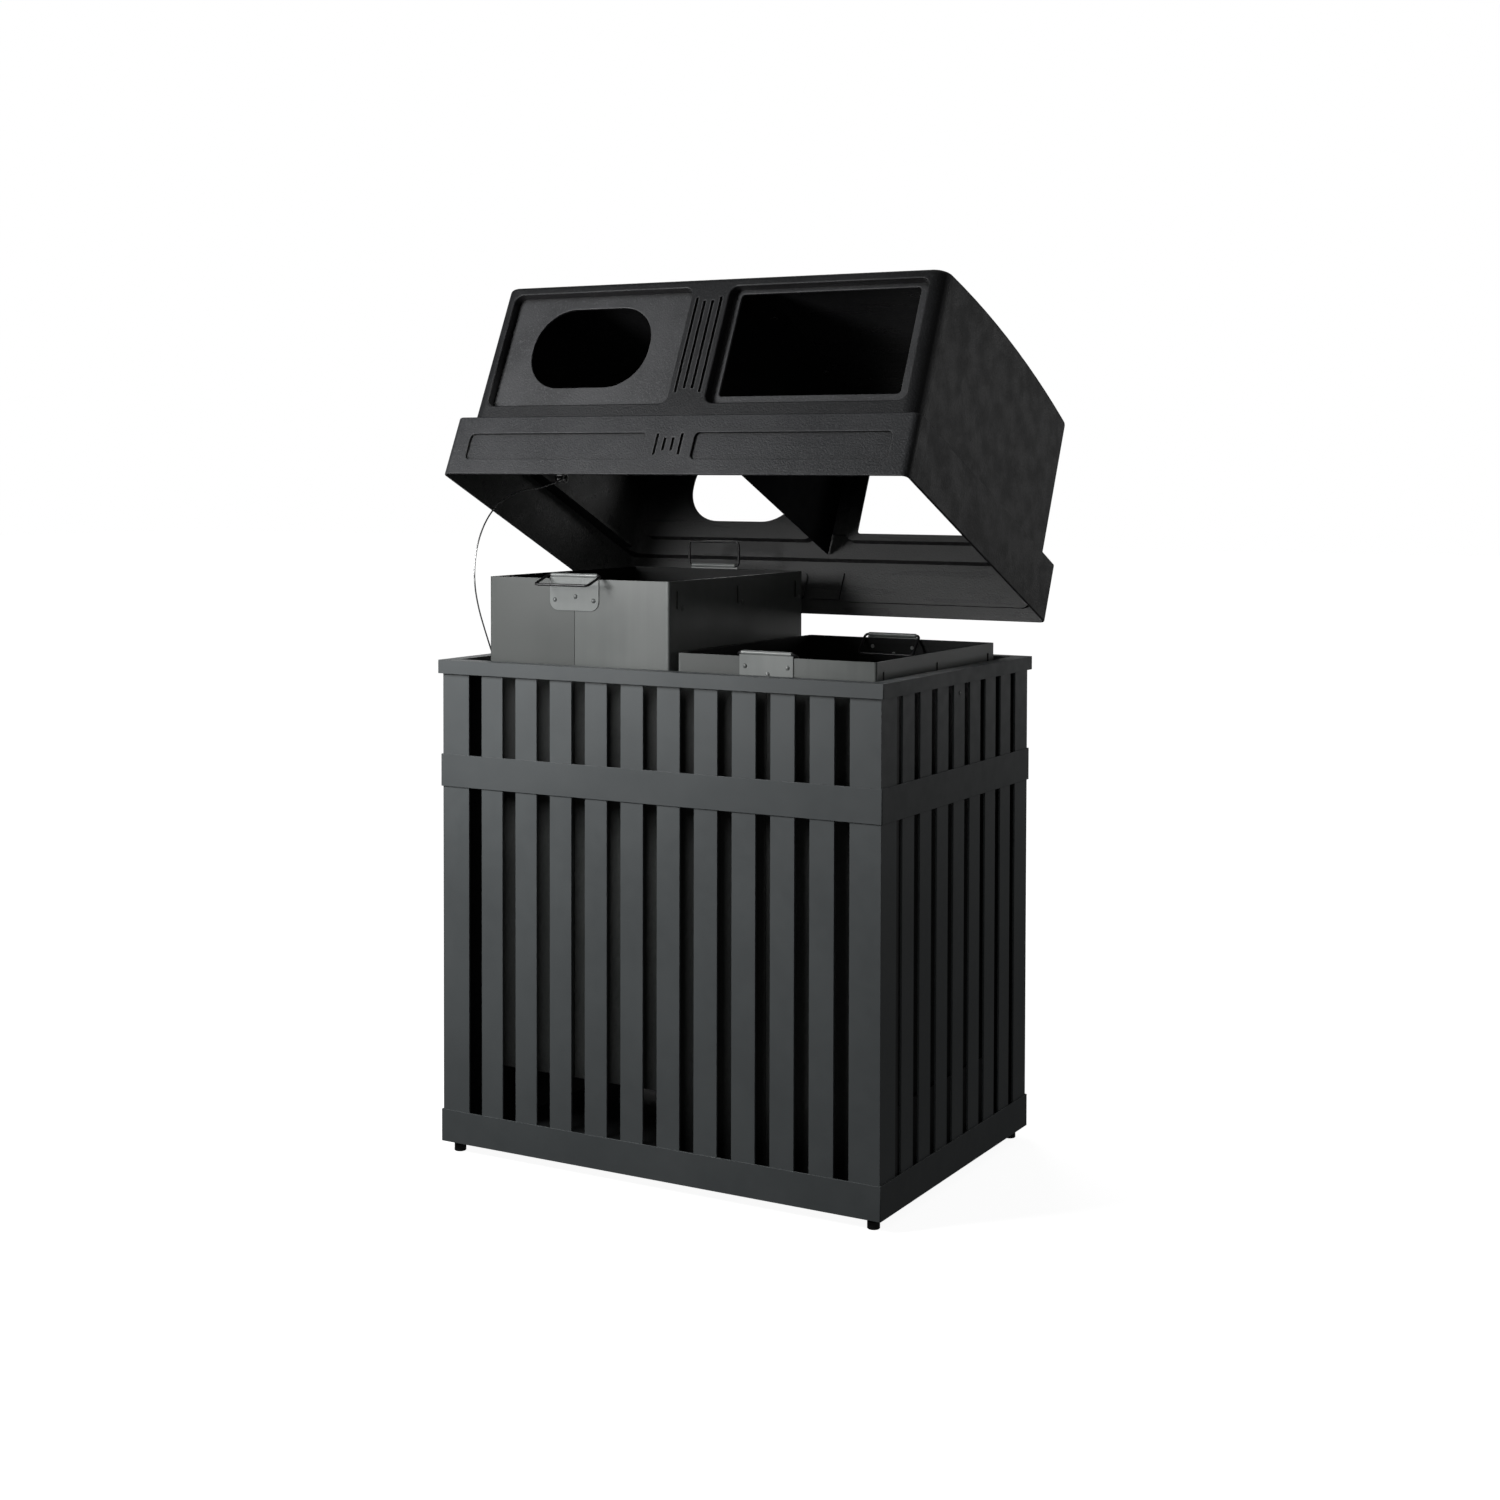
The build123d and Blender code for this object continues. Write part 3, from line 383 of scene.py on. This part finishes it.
def wire_coat(name):
    """Black coat with small paler specks."""
    material, tree, shader = finish(name, WIRE_TONES[0], 0.38)
    where = place(tree)
    specks = remap(tree, noise(tree, where, 160.0, 4.0), 0.62, 0.78, 0.0, 1.0)
    colour = blend_colours(tree, specks, *WIRE_TONES)
    tree.links.new(colour, shader.inputs["Base Color"])
    bump(tree, shader, noise(tree, where, 900.0, 2.0), 0.2, 0.0003)
    return material


def plain_steel(name, colour, roughness):
    """Zinc or stainless fittings with fine scratches."""
    material, tree, shader = finish(name, colour, roughness, metallic=1.0)
    where = place(tree)
    scratch = noise(tree, place(tree, (900.0, 90.0, 900.0)), 1.0, 3.0)
    sheen = remap(tree, scratch, 0.3, 0.7, roughness - 0.08, roughness + 0.12)
    tree.links.new(sheen, shader.inputs["Roughness"])
    darker = tuple(channel * 0.6 for channel in colour)
    stain = remap(tree, noise(tree, where, 120.0, 4.0), 0.45, 0.7, 0.0, 1.0)
    tree.links.new(blend_colours(tree, stain, colour, darker), shader.inputs["Base Color"])
    return material


def give(material, *names):
    """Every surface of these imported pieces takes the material."""
    for name in names:
        mesh = nodes[name].data
        mesh.materials.clear()
        mesh.materials.append(material)


def soft_corners(width, *names):
    """Rounds the arrises of folded or sawn pieces, as their coating does."""
    for name in names:
        piece = nodes[name]
        weld = piece.modifiers.new("weld", "WELD")
        weld.merge_threshold = 0.00002
        corner = piece.modifiers.new("arris", "BEVEL")
        corner.width = width
        corner.segments = 2
        corner.limit_method = "ANGLE"
        corner.angle_limit = math.radians(40)
        corner.harden_normals = True


def names_with(*starts):
    """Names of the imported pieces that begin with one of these."""
    return [name for name in nodes if name.startswith(starts)]


slats = names_with("front_slat", "back_slat", "left_side", "right_side", "corner_post")
bands = ("mid_band", "bottom_band", "rim_frame")
hidden = ("floor_pan", "liner_rails", "liner_guides", "foot_nuts")
rivets = names_with("plate_rivets", "side_rivets", "side_screws")
fittings = ("lanyard_eye", "lanyard_lid_ferrule", "lanyard_body_anchor")
give(powder_coat("slat_coat", SLAT_TONES, 0.50), *slats)
give(powder_coat("band_coat", BAND_TONES, 0.52), *bands)
give(powder_coat("pan_coat", PAN_TONES, 0.55), *hidden)
give(moulded_plastic("hood_plastic"), "lid_hood")
give(powder_coat("divider_coat", DIVIDER_TONES, 0.90, 0.10), "lid_divider")
for side in ("left", "right"):
    give(liner_coat(side), "liner_" + side)
give(sheet_coat("handle_coat", HANDLE_TONES, 0.32)[0], *names_with("handle_plate"))
give(sheet_coat("rivet_coat", RIVET_TONES, 0.30)[0], *rivets)
give(wire_coat("bail_coat"), *names_with("bail_"))
give(wire_coat("foot_coat"), *names_with("levelling_foot"))
give(plain_steel("screw_steel", SCREW_STEEL, 0.25), "divider_screws")
give(plain_steel("fitting_steel", FITTING_STEEL, 0.38), *fittings)
soft_corners(0.0006, *slats, "mid_band", "bottom_band")
soft_corners(0.0008, "rim_frame", "liner_left", "liner_right")


# ---- lanyard -----------------------------------------------------------------------------------
def route_curve(points):
    """A smooth open spline with the route's points as its control points."""
    curve = bpy.data.curves.new("lanyard_line", "CURVE")
    curve.dimensions = "3D"
    curve.resolution_u = 16
    spline = curve.splines.new("NURBS")
    spline.points.add(len(points) - 1)
    for point, spot in zip(spline.points, points):
        point.co = (*spot, 1.0)
    spline.order_u = 3
    spline.use_endpoint_u = True
    return curve


def spline_points(curve):
    """Points along the curve's own line."""
    holder = bpy.data.objects.new("lanyard_line", curve)
    mesh = bpy.data.meshes.new_from_object(holder)
    points = [vertex.co.copy() for vertex in mesh.vertices]
    bpy.data.objects.remove(holder)
    return points


def rope(name, points, radius):
    """A tube along points, with shallow strand grooves that wind round it."""
    mesh = bmesh.new()
    rings = []
    travelled = 0.0
    across = None
    for index, point in enumerate(points):
        before = points[max(index - 1, 0)]
        after = points[min(index + 1, len(points) - 1)]
        along = (after - before).normalized()
        if across is None:
            across = along.orthogonal().normalized()
        across = (across - along * across.dot(along)).normalized()
        beside = along.cross(across)
        travelled += (point - before).length
        ring = []
        for side in range(ROPE_SIDES):
            angle = 2 * math.pi * side / ROPE_SIDES
            strand = ROPE_STRANDS * (angle + travelled * ROPE_TURNS_PER_METRE * 2 * math.pi)
            groove = 1.0 - ROPE_GROOVE * (0.5 + 0.5 * math.cos(strand))
            outward = across * math.cos(angle) + beside * math.sin(angle)
            ring.append(mesh.verts.new(point + outward * radius * groove))
        rings.append(ring)
    for ring, after in zip(rings, rings[1:]):
        for side in range(ROPE_SIDES):
            around = (side + 1) % ROPE_SIDES
            mesh.faces.new((ring[side], ring[around], after[around], after[side]))
    mesh.faces.new(reversed(rings[0]))
    mesh.faces.new(rings[-1])
    mesh.normal_update()
    data = bpy.data.meshes.new(name)
    mesh.to_mesh(data)
    mesh.free()
    for polygon in data.polygons:
        polygon.use_smooth = len(polygon.vertices) == 4
    piece = bpy.data.objects.new(name, data)
    bpy.context.scene.collection.objects.link(piece)
    return piece


def lanyard():
    """The wire rope between the lid's ferrule and the body's anchor."""
    points = spline_points(route_curve(CABLE_ROUTE))
    piece = rope("lanyard_wire_rope", points, CABLE_DIAMETER / 2)
    piece.data.materials.append(plain_steel("rope_steel", ROPE_STEEL, 0.32))
    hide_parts("lanyard_cable")
    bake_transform(piece)


lanyard()


# ---- floor, lights and camera ------------------------------------------------------------------
def studio_floor():
    """A pale floor that blends into the surroundings, with a faint contact shadow."""
    mesh = bpy.data.meshes.new("floor")
    size = FLOOR_HALF_SIZE
    corners = [(-size, -size, 0), (size, -size, 0), (size, size, 0), (-size, size, 0)]
    mesh.from_pydata(corners, [], [(0, 1, 2, 3)])
    floor = bpy.data.objects.new("floor", mesh)
    bpy.context.scene.collection.objects.link(floor)
    material, tree, shader = finish("pale_floor", (0.45, 0.45, 0.45), 0.9)
    shader.inputs["Emission Color"].default_value = (1.0, 1.0, 1.0, 1.0)
    distance = tree.nodes.new("ShaderNodeVectorMath")
    distance.operation = "LENGTH"
    tree.links.new(place(tree), distance.inputs[0])
    glow = remap(tree, distance.outputs["Value"], 0.7, 1.8, 0.93, 1.0)
    tree.links.new(glow, shader.inputs["Emission Strength"])
    mesh.materials.append(material)
    floor.visible_diffuse = False
    floor.visible_glossy = False


def surroundings():
    """White behind everything the camera sees, and a weak even light on the bin."""
    world = bpy.data.worlds.new("studio")
    bpy.context.scene.world = world
    world.use_nodes = True
    tree = world.node_tree
    tree.nodes.clear()
    output = tree.nodes.new("ShaderNodeOutputWorld")
    chooser = tree.nodes.new("ShaderNodeMixShader")
    rays = tree.nodes.new("ShaderNodeLightPath")
    lighting = tree.nodes.new("ShaderNodeBackground")
    lighting.inputs["Strength"].default_value = AMBIENT_STRENGTH
    seen = tree.nodes.new("ShaderNodeBackground")
    seen.inputs["Color"].default_value = (1.0, 1.0, 1.0, 1.0)
    seen.inputs["Strength"].default_value = 1.0
    tree.links.new(rays.outputs["Is Camera Ray"], chooser.inputs["Fac"])
    tree.links.new(lighting.outputs["Background"], chooser.inputs[1])
    tree.links.new(seen.outputs["Background"], chooser.inputs[2])
    tree.links.new(chooser.outputs["Shader"], output.inputs["Surface"])


def softbox(name, spot, target, width, height, power):
    """A rectangular lamp at spot that faces target and stays out of the picture."""
    light = bpy.data.lights.new(name, "AREA")
    light.shape = "RECTANGLE"
    light.size = width
    light.size_y = height
    light.energy = power
    holder = bpy.data.objects.new(name, light)
    holder.location = spot
    holder.rotation_euler = (Vector(target) - Vector(spot)).to_track_quat("-Z", "Y").to_euler()
    holder.visible_camera = False
    bpy.context.scene.collection.objects.link(holder)


def camera():
    """Seen from the front right, a little above the rim, looking slightly down."""
    data = bpy.data.cameras.new("camera")
    data.sensor_fit = "HORIZONTAL"
    data.sensor_width = 36.0
    data.lens = CAMERA_LENS
    data.shift_y = CAMERA_SHIFT_Y
    data.clip_end = 200.0
    holder = bpy.data.objects.new("camera", data)
    corner = Vector((RIM_LOW.x, RIM_LOW.y, RIM_HIGH.z))
    turn = Matrix.Rotation(math.radians(CAMERA_TURN), 4, "Z")
    tilt = Matrix.Rotation(math.radians(90 - CAMERA_DIP), 4, "X")
    roll = Matrix.Rotation(math.radians(CAMERA_ROLL), 4, "Z")
    spot = Matrix.Translation(corner + Vector(CAMERA_FROM_RIM))
    holder.matrix_world = spot @ (turn @ tilt) @ roll
    bpy.context.scene.collection.objects.link(holder)
    bpy.context.scene.camera = holder


studio_floor()
surroundings()
for light in LIGHTS:
    softbox(*light)
camera()
bpy.context.scene.view_settings.view_transform = "Standard"
